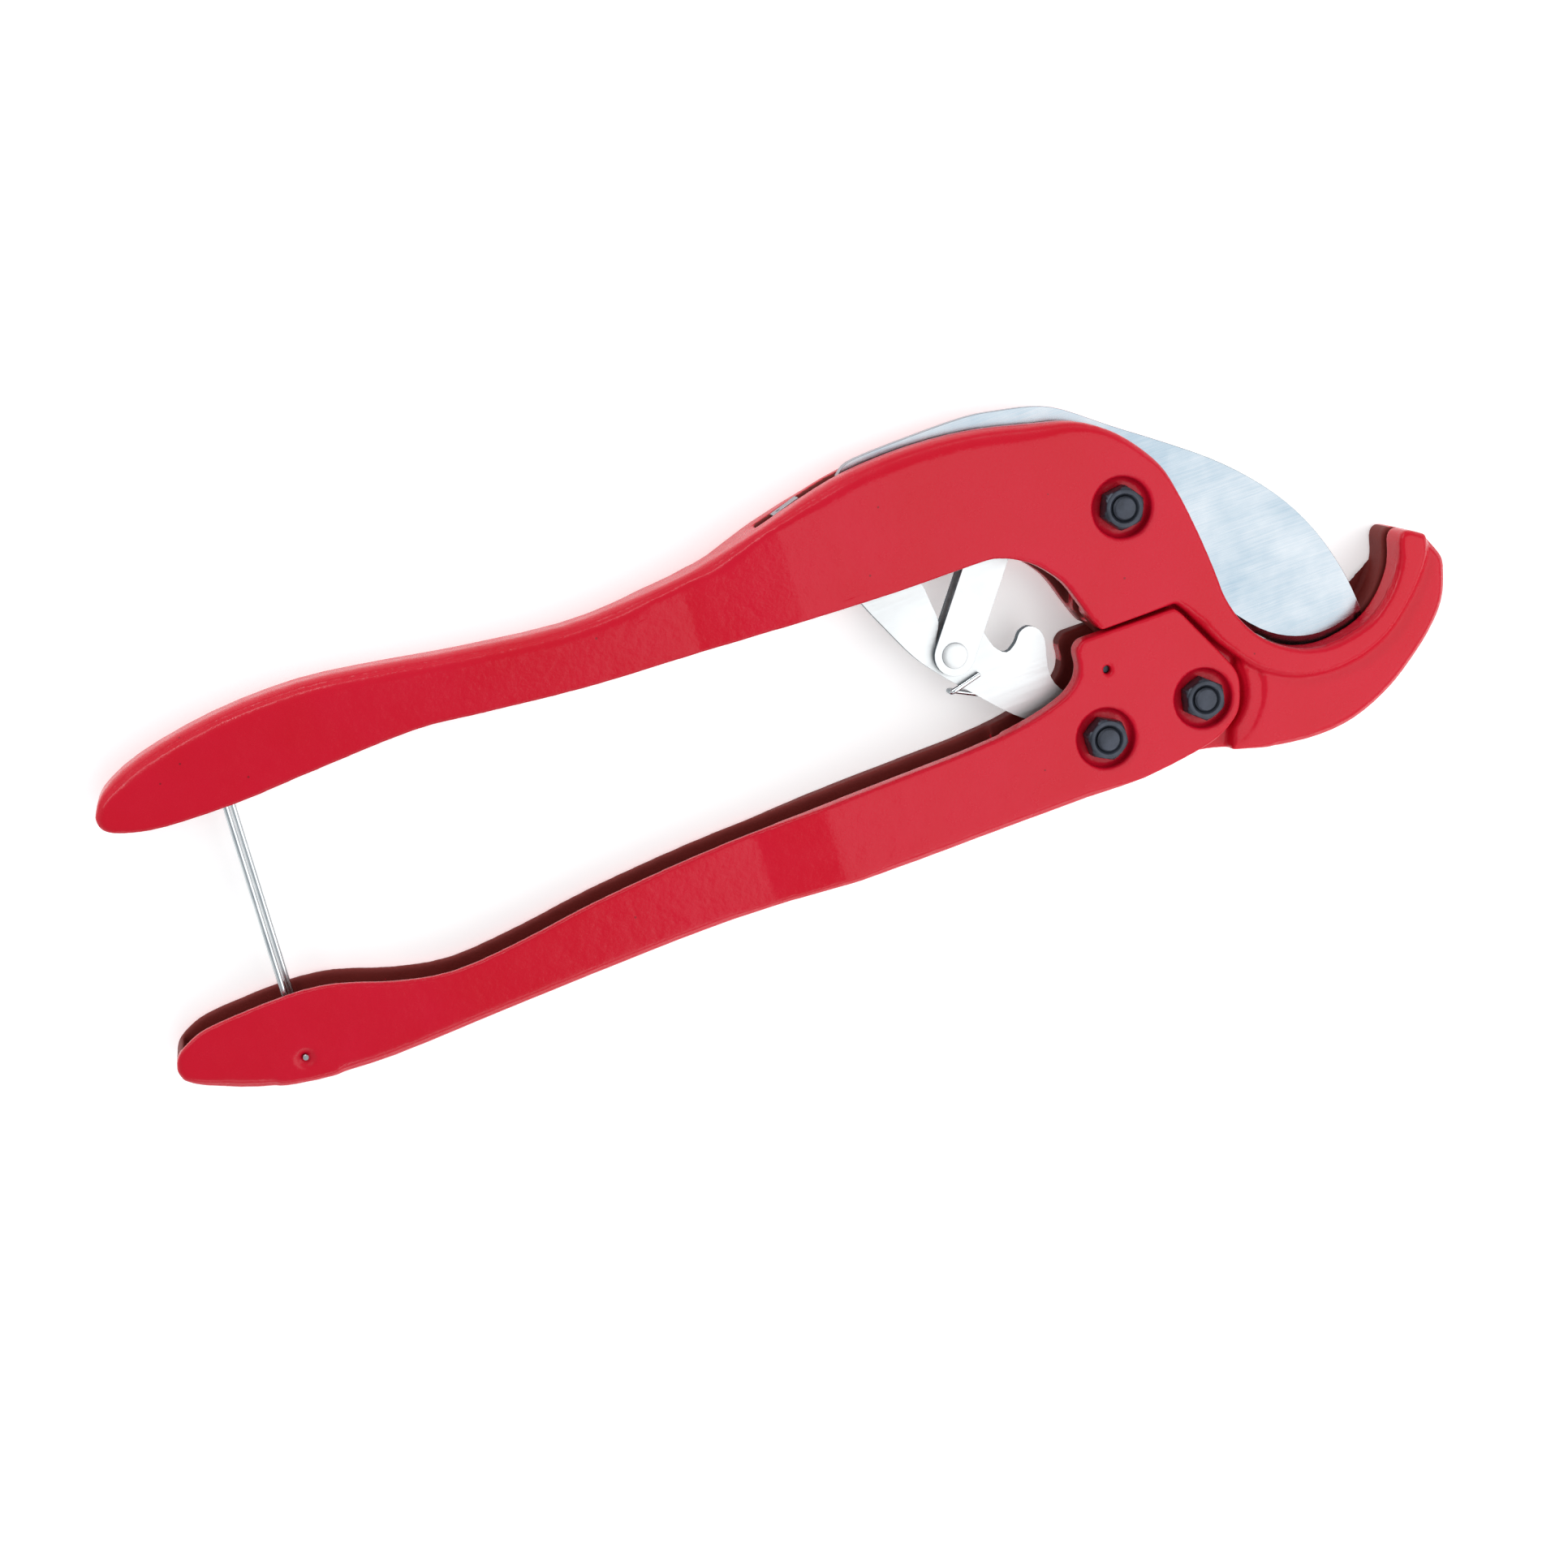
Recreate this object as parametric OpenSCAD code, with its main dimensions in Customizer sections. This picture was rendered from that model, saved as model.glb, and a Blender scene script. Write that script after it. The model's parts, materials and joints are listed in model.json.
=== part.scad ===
// Two-handed ratchet pipe cutter, 63 mm capacity, lying on its side.
// X runs from the handle ends towards the jaw, Y across the handles, Z is the thickness.
// Points on the outlines are measured from the blade pivot.

/* [Thickness] */
// Thickness of the head casting
head_t = 28; // [26:0.5:32]
// Thickness of the two handles
grip_t = 22; // [18:0.5:24]
// Thickness of the blade
blade_t = 3.6; // [3:0.1:4]
// Thickness of the ratchet plate
ratchet_t = 3.2; // [2.8:0.1:3.6]
// Thickness of one link arm
arm_t = 2; // [1.6:0.1:2.4]
// Width of the slot that the blade runs in
slot_w = 5.4; // [5:0.1:6]
// Thickness of one cheek of the moving handle
cheek_t = 8; // [7:0.5:8.5]
// Wall of the handle channels, side and back
wall = 3.5; // [3:0.5:4]

/* [Pivots] */
// Handle pivot, from the blade pivot
handle_pivot = [9, -70.5]; // [-80:0.5:20]
// Ratchet pivot, from the blade pivot
ratchet_pivot = [-27, -72]; // [-80:0.5:20]
// Pin where the link arms meet the blade's tail
tail_pin = [-33, 15]; // [-40:0.5:20]
// Pin that sits in the first notch of the ratchet plate
notch_pin = [-66, -30]; // [-70:0.5:20]
// Pivot of the latch wire
latch_pivot = [-309.5, -81]; // [-310:0.5:20]

/* [Fasteners] */
// Bolt shank radius
bolt_r = 4; // [3:0.5:5]
// Nut and bolt head width across flats
nut_af = 13; // [12:0.5:14]
// Nut height
nut_h = 6.5; // [6:0.5:7]
// Bolt head height
bolt_head_h = 3.5; // [3:0.1:3.8]
// Radius of the round recess around each nut and head
recess_r = 10; // [9:0.5:11]
// Depth of the recess around the nut of the blade bolt
blade_recess = 4; // [4:0.5:5]
// Depth of the recess around the two nuts of the moving handle
cheek_recess = 4; // [4:0.5:5]

/* [Latch] */
// Radius of the latch wire
wire_r = 1; // [0.8:0.1:1.2]
// Length of the latch wire loop
bail_len = 101; // [98:1:102]
// Lean of the latch wire from the X axis, in degrees
bail_lean = 86.6; // [85:0.1:88]
// Distance between the two legs of the latch wire
bail_w = 10; // [8:0.5:11]

/* [Hidden] */

$fn = 64;
eps = 0.1;                        // overlap that keeps a cut clean
run = 0.05;                       // radial clearance of a running fit
side = 0.3;                       // side clearance between moving faces
mid = head_t / 2;                 // height of the blade's middle plane
origin = [121.7, 27.4];           // blade pivot, from the centre of the whole tool
grip_z = (head_t - grip_t) / 2;   // far face of the handles
channel_t = grip_t - 2 * wall;    // clear width of the handle channels
core_t = head_t - 2 * (cheek_t + side);
crescent_step = 3;                // drop from the seat band to the outer crescent
bush_r = 6;
boss_r = 16.3;                    // round recess that the handle's nose turns in
boss_step_r = 21.5;               // shallow step round that recess
boss_step = 0.8;
hook_slot_w = 2.4;                // slot in the seat, which only the thin cutting edge enters
bore_r = bolt_r + run;
ball = 1.04;                      // a bend's ball is a hair larger than its wire
far = 200;                        // a length beyond the part, for cuts

// Point on the curve that runs smoothly through four points
function bend(a, b, c, d, t) =
    b + 0.5 * t * ((c - a) + t * ((2 * a - 5 * b + 4 * c - d) + t * (3 * b - a - 3 * c + d)));
// Smooth curve through all the points of p, n steps to each stretch
function smooth(p, n = 3) = concat(
    [for (i = [0:len(p) - 2]) for (k = [0:n - 1])
        bend(p[max(i - 1, 0)], p[i], p[i + 1], p[min(i + 2, len(p) - 1)], k / n)],
    [p[len(p) - 1]]);
function shifted(p, d) = [for (q = p) q + d];
function polar(c, r, a) = c + r * [cos(a), sin(a)];
function arc(c, r, a0, a1, n) = [for (i = [0:n]) polar(c, r, a0 + (a1 - a0) * i / n)];

// Upper edge of the fixed handle, from its end to the top of the head
body_top = [
    [-344, 14.5], [-339, 21.5], [-325, 28], [-299, 33], [-271, 34], [-246, 31], [-221, 27],
    [-186, 23], [-161, 24], [-139, 26.5], [-121, 31], [-100, 36.7], [-83, 40.2], [-61, 41.3],
    [-39, 39.5], [-18, 34.8]
];
// Front of the head, round the pipe seat, to the tip of the hook
body_front = [
    [-18, 34.8], [-7, 32], [3, 26], [11, 18], [17, 9], [20, -1], [23, -16], [25, -30], [26, -40],
    [29, -49], [34, -57], [41, -63], [49, -67], [59, -68.5], [72, -66], [81, -60], [87.5, -51.5],
    [90, -43]
];
hook_tip = [[90, -43], [91.5, -40.5], [94.5, -40.2], [100.3, -43.8]];
hook_back = [
    [100.3, -43.8], [105, -53], [104.5, -59.6], [101.3, -68.6], [93.7, -77.6], [82.3, -86.7],
    [72.6, -92.5], [60, -97.2], [46.7, -98.5], [31.5, -96.8], [19.5, -93.5], [10, -90.6], [0, -88.8]
];
core_back = [[0, -88.8], [-8, -82], [-12, -71], [-12, -58], [-13, -47], [-18, -37]];
// Lower edge of the head and the fixed handle
body_low = [
    [-18, -37], [-20, -33], [-22.5, -26.5], [-26, -17.5], [-32, -10], [-38, -5.5], [-44, -2.8],
    [-51, -1.8], [-80, -1.8], [-111, -0.8], [-152, 0.7], [-186, 2.2], [-221, 5.7], [-242, 7.7],
    [-277, 6], [-302, 4.5], [-325, 5], [-337.5, 7.5], [-343, 10.5], [-344, 14.5]
];
// Edge where the raised head steps down to the cheek and to the outer crescent
cheek_step = [[-40, -36.8], [9, -36.8], [12, -41], [19.5, -54.5], [25.5, -62.5]];
band_step = [
    [25.5, -62.5], [31, -68.5], [41, -74.5], [53, -77.2], [66, -76.5], [78, -72], [88, -64],
    [95.5, -56], [99.5, -48.5], [100, -40]
];
// Floor of the blade slot in the head, from its lower edge to the seat
head_floor = [
    [-24, -37], [-15, -32], [-10, -24], [-6, -18.5], [0, -17.5], [8, -20.5], [14, -27], [21, -40],
    [29, -53], [35, -60.5]
];
// Floor of the narrow slot in the seat, up to the tip of the hook
hook_floor = [
    [29, -53], [38, -64], [47, -70.5], [57, -73], [67, -72.5], [76, -70.5], [83, -66.5], [90, -59],
    [95, -48], [96.5, -36]
];

// Upper and lower edges of the moving handle
lever_top = [
    [-348.8, -71], [-347, -66.5], [-342, -63], [-333, -60.5], [-308, -59.5], [-292, -61.5],
    [-274, -67.5], [-255, -71], [-230, -69], [-205, -65.5], [-168, -62.5], [-136, -61.5],
    [-99, -60.5], [-74, -60], [-55, -58.5], [-39.5, -55], [-32, -51], [-29, -46], [-28.5, -40.5],
    [-25.5, -37.6]
];
lever_nose = [
    [8, -38], [10, -40.5], [13.5, -47], [20, -59], [23, -66], [22.5, -72], [19.5, -79.5],
    [12, -84.8], [4.5, -87]
];
lever_low = [
    [4.5, -87], [-17, -89.8], [-45, -90.2], [-74, -90.2], [-111, -90.2], [-142, -88.6],
    [-174, -88.2], [-205, -88.8], [-246, -90.2], [-283, -91.6], [-308, -90], [-327, -85.7],
    [-342, -79], [-348, -74.5]
];

// Back of the blade from its tail to the tip, then the cutting edge and the tail's lower edge
blade_back = [
    [-88, 36], [-84, 40.5], [-78, 42.5], [-58, 43.4], [-39, 43.5], [-28, 42], [-16, 39.5],
    [-7, 35.5], [7.5, 25], [22, 15], [37, 4], [49, -7], [59, -19], [66.5, -32], [72, -47],
    [74.5, -59], [75.5, -67.5]
];
blade_edge = [
    [75.5, -67.5], [66.5, -70], [57.5, -70.2], [48.5, -67.5], [40, -61.8], [31, -51.5],
    [23, -38.5], [16, -25.5], [9, -13]
];
blade_tail = [
    [-8, -12], [-17, -3], [-26, 4], [-36, 7], [-47, 14], [-58, 24], [-70, 30], [-86, 33.5]
];
blade_boss_r = 14;

// Outline of the ratchet plate: outer edge, hidden top, then the wave of notches
ratchet_outer = [
    [-38, -67], [-52, -56.5], [-64, -44], [-73, -34], [-79, -26], [-85, -14.5], [-90.5, -3],
    [-94, 7], [-90, 12.5], [-81, 13], [-73, 8]
];
ratchet_wave = [
    [-73, 8], [-69.3, -3], [-68, -12], [-67.5, -18], [-70.5, -24.5], [-70.8, -31], [-67, -34.8],
    [-62.5, -33.5], [-60, -27.5], [-57, -23.5], [-54.2, -25.5], [-52, -32], [-48.3, -35.4],
    [-44.5, -33.5], [-42, -30.5], [-38.5, -29.6], [-35.5, -31.8], [-34.5, -36], [-36, -44],
    [-35.5, -51], [-30, -58], [-20, -64]
];
ratchet_eye_r = 10.5;

arm_r = 7;                        // round ends of the link arms
tail_rivet_r = 3;
notch_rivet_r = 2;
roller_r = 2.8;
hook_r = 0.9;                     // radius of the ratchet spring's wire
spring_r = 8;                     // mean radius of the ratchet spring's coil
anchor_hole = [-20, -50];
anchor_r = 1.4;
latch_sink = 1.4;                 // depth of the recess round each end of the latch wire
latch_sink_r = 1.6;
clip_at = [-104.5, 33.8];
bail_tip = polar(latch_pivot, bail_len, bail_lean);
bail_spread = 1.6;                // sideways step between the two legs of the latch wire
bail_shoulder = 7;                // distance from the pivot at which a leg has stepped aside

// Flat outline, with its points measured from the blade pivot, raised from z0 to z1
module plate(points, z0, z1) {
    translate([origin[0], origin[1], z0]) linear_extrude(z1 - z0) polygon(points);
}

// Round bar along Z
module bar(at, r, z0, z1) {
    translate([origin[0] + at[0], origin[1] + at[1], z0]) cylinder(r = r, h = z1 - z0);
}

// Six-sided bar along Z, turned by a few degrees
module hex_bar(at, z0, z1, turn) {
    translate([origin[0] + at[0], origin[1] + at[1], z0])
        rotate(turn) cylinder(r = nut_af / 2 / cos(30), h = z1 - z0, $fn = 6);
}

// Round wire between two points, each [x, y, z], with a ball at both ends
module wire(a, b, r) {
    d = b - a;
    translate([origin[0], origin[1], 0] + a) {
        rotate([0, acos(d[2] / norm(d)), atan2(d[1], d[0])]) cylinder(r = r, h = norm(d), $fn = 24);
        sphere(r = r * ball, $fn = 24);
    }
    translate([origin[0], origin[1], 0] + b) sphere(r = r * ball, $fn = 24);
}

// Side profile that thins a casting from the head, at x_head, to the handle, at x_grip
module thickness_profile(x_grip, x_head) {
    translate([origin[0], far, 0]) rotate([90, 0, 0]) linear_extrude(2 * far) polygon([
        [-far * 2, grip_z], [x_grip, grip_z], [x_head, 0], [far, 0],
        [far, head_t], [x_head, head_t], [x_grip, head_t - grip_z], [-far * 2, head_t - grip_z]
    ]);
}

module fixed_body() {
    outline = concat(smooth(body_top), smooth(body_front), smooth(hook_tip), smooth(hook_back),
        smooth(core_back), smooth(body_low));
    hollow_top = shifted([for (p = body_top) if (p[0] > -330) p], [0, -wall - 0.5]);
    hollow = concat(smooth(hollow_top), [[-15, 24], [-15, -10], [-21.5, -31], [-24, -45],
        [-60, -20], [-337, -10], [-337, 17]]);
    cheek_room = concat(cheek_step, [[12, -100], [-60, -100], [-60, -36.8]]);
    crescent = concat(smooth(band_step), [[120, -40], [120, -110], [-20, -110], [-20, -90], [9, -70]]);
    head_slot = concat([[-116, 60], [-116, 8], [-40, -12]], head_floor, [[60, -50], [130, 60]]);
    hook_slot = concat([[20, -50]], hook_floor, [[97, -20], [60, -20]]);
    color("crimson") difference() {
        intersection() {
            plate(outline, 0, head_t);
            thickness_profile(-147, -112);
        }
        plate(hollow, mid - channel_t / 2, mid + channel_t / 2);
        plate(head_slot, mid - slot_w / 2, mid + slot_w / 2);
        plate(hook_slot, mid - hook_slot_w / 2, mid + hook_slot_w / 2);
        for (z = [-eps, mid + core_t / 2]) {
            plate(cheek_room, z, z + cheek_t + side + eps);
            bar(handle_pivot, boss_r, z, z + cheek_t + side + eps);
        }
        for (z = [-eps, head_t - crescent_step]) plate(crescent, z, z + crescent_step + eps);
        for (z = [-eps, head_t - crescent_step - boss_step]) intersection() {
            plate(crescent, z, z + crescent_step + boss_step + eps);
            bar(handle_pivot, boss_step_r, z, z + crescent_step + boss_step + eps);
        }
        bar([0, 0], bore_r, -eps, head_t + eps);
        bar([0, 0], recess_r, -eps, blade_recess);
        bar([0, 0], recess_r, head_t - blade_recess, head_t + eps);
        bar(handle_pivot, bush_r + 0.5 + run, -eps, head_t + eps);
    }
}

module moving_handle() {
    outline = concat(smooth(lever_top), smooth(lever_nose), smooth(lever_low));
    floor_line = shifted([for (p = lever_low) if (p[0] > -340 && p[0] < -70) p], [0, wall]);
    channel = concat([[-60, -84.7]], smooth(floor_line), [[-344.5, -72], [-344.5, -40], [-60, -40]]);
    cheek_gap = [[-66, -84], [-20, -85.3], [-20, -100], [40, -100], [40, -20], [-66, -20]];
    color("crimson") difference() {
        intersection() {
            plate(outline, 0, head_t);
            thickness_profile(-149, -125);
        }
        plate(channel, mid - channel_t / 2, mid + channel_t / 2);
        plate(cheek_gap, cheek_t, head_t - cheek_t);
        for (p = [handle_pivot, ratchet_pivot]) {
            bar(p, bore_r, -eps, head_t + eps);
            bar(p, recess_r, -eps, cheek_recess);
            bar(p, recess_r, head_t - cheek_recess, head_t + eps);
        }
        bar(anchor_hole, anchor_r + run, -eps, head_t + eps);
        bar(latch_pivot, wire_r + run, -eps, head_t + eps);
        for (z = [grip_z - eps, head_t - grip_z - latch_sink])
            bar(latch_pivot, latch_sink_r, z, z + latch_sink + eps);
    }
}

module blade() {
    outline = concat(smooth(blade_back), smooth(blade_edge), arc([0, 0], blade_boss_r, -50, -120, 6),
        smooth(blade_tail));
    bevel_depth = 4.5;
    // The ground edge is a strip thinner than the blade, along the cutting edge
    ground = concat([[110, -55]], shifted(smooth(blade_edge), [-1.5, bevel_depth]),
        [[9, -40], [60, -100], [110, -90]]);
    edge_t = 1.2;
    color("lightsteelblue") difference() {
        plate(outline, mid - blade_t / 2, mid + blade_t / 2);
        for (z = [mid - blade_t / 2 - eps, mid + edge_t / 2])
            plate(ground, z, z + (blade_t - edge_t) / 2 + eps);
        bar([0, 0], bush_r + run, 0, head_t);
        bar(tail_pin, tail_rivet_r + run, 0, head_t);
    }
}

// Ring along Z
module ring(at, r_out, r_in, z0, z1) {
    difference() {
        bar(at, r_out, z0, z1);
        bar(at, r_in, z0 - eps, z1 + eps);
    }
}

module blade_bush() {
    color("silver") ring([0, 0], bush_r, bore_r, mid - slot_w / 2, mid + slot_w / 2);
}

// Thin washers that centre the blade in its slot
module blade_shims() {
    shim_t = (slot_w - blade_t) / 2 - 0.1;
    color("silver") for (z = [mid - slot_w / 2, mid + slot_w / 2 - shim_t])
        ring([0, 0], 10, bush_r + run, z, z + shim_t);
}

// Bolt with a low six-sided head on the far side
module hex_bolt(at, recess, turn, proud) {
    color("dimgray") {
        hex_bar(at, recess - bolt_head_h, recess, turn);
        bar(at, bolt_r, recess - bolt_head_h, head_t - recess + nut_h + proud);
    }
}

// Six-sided nut with its corners turned down
module hex_nut(at, recess, turn) {
    z0 = head_t - recess;
    color("dimgray") difference() {
        intersection() {
            hex_bar(at, z0, z0 + nut_h, turn);
            translate([origin[0] + at[0], origin[1] + at[1], z0])
                cylinder(r1 = nut_af, r2 = nut_af / 2 - 0.1, h = nut_h + 0.4);
        }
        bar(at, bolt_r + 0.02, z0 - eps, z0 + nut_h + eps);
    }
}

module blade_bolt() hex_bolt([0, 0], blade_recess, 8, 0.6);
module blade_nut() hex_nut([0, 0], blade_recess, 8);
module handle_bolt() hex_bolt(handle_pivot, cheek_recess, 20, 0.6);
module handle_nut() hex_nut(handle_pivot, cheek_recess, 20);
module ratchet_bolt() hex_bolt(ratchet_pivot, cheek_recess, 32, 0.6);
module ratchet_nut() hex_nut(ratchet_pivot, cheek_recess, 32);

module handle_bush() {
    color("silver") ring(handle_pivot, bush_r + 0.5, bore_r, cheek_t, head_t - cheek_t);
}

module ratchet_plate() {
    outline = concat(smooth(ratchet_outer), smooth(ratchet_wave));
    color("gainsboro") difference() {
        union() {
            plate(outline, mid - ratchet_t / 2, mid + ratchet_t / 2);
            bar(ratchet_pivot, ratchet_eye_r, mid - ratchet_t / 2, mid + ratchet_t / 2);
        }
        bar(ratchet_pivot, bush_r + run, 0, head_t);
    }
}

module ratchet_bush() {
    color("silver") ring(ratchet_pivot, bush_r, bore_r, cheek_t, head_t - cheek_t);
}

// Spacer that holds the ratchet plate on the middle plane
module ratchet_spacer() {
    color("silver") ring(ratchet_pivot, 9, bush_r + run, mid + ratchet_t / 2 + side, head_t - cheek_t);
}

// Torsion spring: two turns behind the ratchet plate, and a leg that hooks round its outer edge
module ratchet_spring() {
    z_low = cheek_t + side + hook_r;
    z_leg = mid - ratchet_t / 2 - hook_r - 0.15;
    z_hook = mid + ratchet_t / 2 + hook_r + 0.1;
    edge_at = [-70.3, -41.8];
    color("silver") {
        for (z = [z_low, z_leg])
            translate([origin[0] + ratchet_pivot[0], origin[1] + ratchet_pivot[1], z])
                rotate_extrude() translate([spring_r, 0]) circle(r = hook_r, $fn = 20);
        wire([-34.9, -72, z_low], [-34.9, -72, z_leg], hook_r);
        wire([-33, -66.7, z_leg], [edge_at[0], edge_at[1], z_leg], hook_r);
        wire([edge_at[0], edge_at[1], z_leg], [edge_at[0], edge_at[1], z_hook], hook_r);
        wire([edge_at[0], edge_at[1], z_hook], [-59.5, -39, z_hook], hook_r);
        wire([-19, -72, z_low], [-17.3, -55, z_low], hook_r);
    }
}

module spring_anchor_pin() {
    color("dimgray") bar(anchor_hole, anchor_r, 1, head_t - 3);
}

// Flat arm with round ends, one on each side of the ratchet plate
module link_arm(z0) {
    along = notch_pin - tail_pin;
    lean = atan2(along[1], along[0]);
    color("gainsboro") difference() {
        plate(concat(arc(tail_pin, arm_r, lean + 90, lean + 270, 12),
            arc(notch_pin, arm_r, lean - 90, lean + 90, 12)), z0, z0 + arm_t);
        bar(tail_pin, tail_rivet_r + run, z0 - eps, z0 + arm_t + eps);
        bar(notch_pin, notch_rivet_r + run, z0 - eps, z0 + arm_t + eps);
    }
}

arm_gap = blade_t + 2 * side;
module link_arm_far() link_arm(mid - arm_gap / 2 - arm_t);
module link_arm_near() link_arm(mid + arm_gap / 2);

// Rivet through both arms, with a low round head on each side
module rivet(at, r, head_r) {
    head_h = 0.7;
    out = arm_gap / 2 + arm_t;
    color("silver") {
        bar(at, r, mid - out, mid + out);
        bar(at, head_r, mid + out, mid + out + head_h);
        bar(at, head_r, mid - out - head_h, mid - out);
    }
}

module tail_pin_rivet() rivet(tail_pin, tail_rivet_r, 4.5);
module notch_pin_rivet() rivet(notch_pin, notch_rivet_r, 4.4);
module notch_roller() {
    half = arm_gap / 2 - 0.1;
    color("silver") ring(notch_pin, roller_r, notch_rivet_r + run, mid - half, mid + half);
}

// Small drilled strip that bridges the slot on the back of the handle
module slot_clip() {
    strip = [10, 1.6];
    color("silver") translate([origin[0] + clip_at[0], origin[1] + clip_at[1], mid - slot_w / 2])
        rotate(17) difference() {
            translate([-strip[0] / 2, 0, 0]) cube([strip[0], strip[1], slot_w]);
            translate([-2.5, -1, slot_w / 2]) rotate([-90, 0, 0]) cylinder(r = 0.8, h = 4);
        }
}

// Wire loop: two legs that stand slightly askew, a cross wire at the tip, and ends bent out into the
// handle's walls
module latch_bail() {
    color("silver") for (s = [-1, 1]) {
        z = mid + s * bail_w / 2;
        z_end = mid + s * (grip_t / 2 - 0.8);
        wire([latch_pivot[0], latch_pivot[1], z_end], [latch_pivot[0], latch_pivot[1], z], wire_r);
        aside = s * bail_spread / 2 * [-sin(bail_lean), cos(bail_lean)];
        shoulder = polar(latch_pivot, bail_shoulder, bail_lean) + aside;
        top = bail_tip + aside;
        wire([latch_pivot[0], latch_pivot[1], z], [shoulder[0], shoulder[1], z], wire_r);
        wire([shoulder[0], shoulder[1], z], [top[0], top[1], z], wire_r);
        wire([top[0], top[1], z], [bail_tip[0], bail_tip[1], mid], wire_r);
    }
}

// Hook that hangs from the back of the fixed handle and holds the wire when the tool is shut
module latch_catch() {
    hook_w = 6;
    hook_t = 2;
    tip_x = bail_tip[0] - wire_r - 1;
    stem_x = tip_x - 8;
    ledge_y = bail_tip[1] - wire_r - 0.5;
    color("silver") plate([[stem_x, ledge_y - hook_t], [tip_x, ledge_y - hook_t], [tip_x, ledge_y],
        [stem_x + hook_t, ledge_y], [stem_x + hook_t, 29], [stem_x, 29]],
        mid - hook_w / 2, mid + hook_w / 2);
}

fixed_body();
moving_handle();
blade();
blade_bush();
blade_shims();
blade_bolt();
blade_nut();
handle_bush();
handle_bolt();
handle_nut();
ratchet_plate();
ratchet_bush();
ratchet_spacer();
ratchet_bolt();
ratchet_nut();
ratchet_spring();
spring_anchor_pin();
link_arm_far();
link_arm_near();
tail_pin_rivet();
notch_pin_rivet();
notch_roller();
slot_clip();
latch_bail();
latch_catch();
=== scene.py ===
# %% [markdown]
# # Ratchet pipe cutter
# The tool is two red castings on a pivot, a ground steel blade, and a flat ratchet plate between them.
# The CAD model gives every place and size. This script gives each piece the shape and the finish that
# the maker's process leaves on it: cast and powder-coated, ground, pressed, drawn or blackened.

# %% Load the frame
import json
import math

import bmesh
import bpy
from mathutils import Matrix, Vector, noise
from mathutils.kdtree import KDTree


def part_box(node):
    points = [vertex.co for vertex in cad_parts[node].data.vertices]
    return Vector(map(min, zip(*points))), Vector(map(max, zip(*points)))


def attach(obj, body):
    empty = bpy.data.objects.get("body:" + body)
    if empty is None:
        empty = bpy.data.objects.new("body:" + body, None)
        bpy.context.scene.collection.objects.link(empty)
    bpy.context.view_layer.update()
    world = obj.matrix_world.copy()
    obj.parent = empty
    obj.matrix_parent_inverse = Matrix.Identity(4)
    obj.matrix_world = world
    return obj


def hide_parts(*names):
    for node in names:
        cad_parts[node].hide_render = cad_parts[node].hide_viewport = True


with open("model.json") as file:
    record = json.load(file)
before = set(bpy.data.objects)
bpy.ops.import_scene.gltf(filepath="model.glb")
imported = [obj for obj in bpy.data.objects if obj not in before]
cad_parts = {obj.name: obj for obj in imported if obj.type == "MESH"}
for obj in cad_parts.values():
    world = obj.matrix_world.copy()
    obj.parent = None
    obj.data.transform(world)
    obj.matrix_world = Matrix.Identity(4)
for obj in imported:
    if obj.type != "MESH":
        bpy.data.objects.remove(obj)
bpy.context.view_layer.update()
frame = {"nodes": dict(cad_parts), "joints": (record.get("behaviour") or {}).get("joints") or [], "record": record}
MM = 0.001
pivots = {j["name"]: Vector(j["pos_m"]) for j in frame["joints"]}
blade_pivot = pivots["blade_hinge"]
handle_pivot = pivots["handle_hinge"]
ratchet_pivot = pivots["ratchet_hinge"]
mid_z = blade_pivot.z
body_of_node = {n: b for b, names in frame["record"]["behaviour"]["bodies"].items() for n in names}
slot_of_node = {n: o.data.materials[0].name for n, o in frame["nodes"].items()}


def from_blade(x, y, z):
    """A point given in mm from the blade pivot, with z up from the floor."""
    return Vector((blade_pivot.x + x * MM, blade_pivot.y + y * MM, z * MM))


# %% [markdown]
# ## Camera
# The tool lies flat and is seen almost from above, from a little to the left of its middle. A long lens
# keeps the two handles nearly parallel. The camera is turned about its own axis, so that the handles run
# uphill to the right.

# %% Camera
scene = bpy.context.scene
scene.view_settings.view_transform = "Standard"
camera_turn = math.radians(17.86)
eye = from_blade(-251.7, 157.7, 856.1)
aim = from_blade(-133.1, -52.3, 14)

back = (eye - aim).normalized()
right = Vector((math.sin(camera_turn), math.cos(camera_turn), 0)).cross(back).normalized()
camera = bpy.data.objects.new("camera", bpy.data.cameras.new("camera"))
camera.matrix_world = Matrix.Translation(eye) @ Matrix((right, back.cross(right), back)).transposed().to_4x4()
camera.data.lens = 60.69
scene.collection.objects.link(camera)
scene.camera = camera
print("camera distance in mm", round((eye - aim).length / MM))

# %% [markdown]
# ## Colours and nodes
# A colour is easiest to read as an sRGB hex value, but shaders add and multiply light, so they need linear
# values. One function turns every colour. Another adds a shader node with its settings and its links, so
# that a material reads as a list of what it is made of.


# %% Colours and nodes
def linear(hex_colour, alpha=1.0):
    """An sRGB hex value as the linear colour that shaders use."""
    parts = [int(hex_colour[i:i + 2], 16) / 255 for i in (1, 3, 5)]
    return [p / 12.92 if p <= 0.04045 else ((p + 0.055) / 1.055) ** 2.4 for p in parts] + [alpha]


def add(tree, kind, settings=None, **inputs):
    """Adds a node. Settings are its properties, inputs its sockets: a value, or a socket to link."""
    node = tree.nodes.new("ShaderNode" + kind)
    for name, value in (settings or {}).items():
        setattr(node, name, value)
    for name, value in inputs.items():
        key = int(name[1:]) if name[1:].isdigit() else name.replace("_", " ")
        if isinstance(value, bpy.types.NodeSocket):
            tree.links.new(value, node.inputs[key])
        else:
            node.inputs[key].default_value = value
    return node


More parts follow.
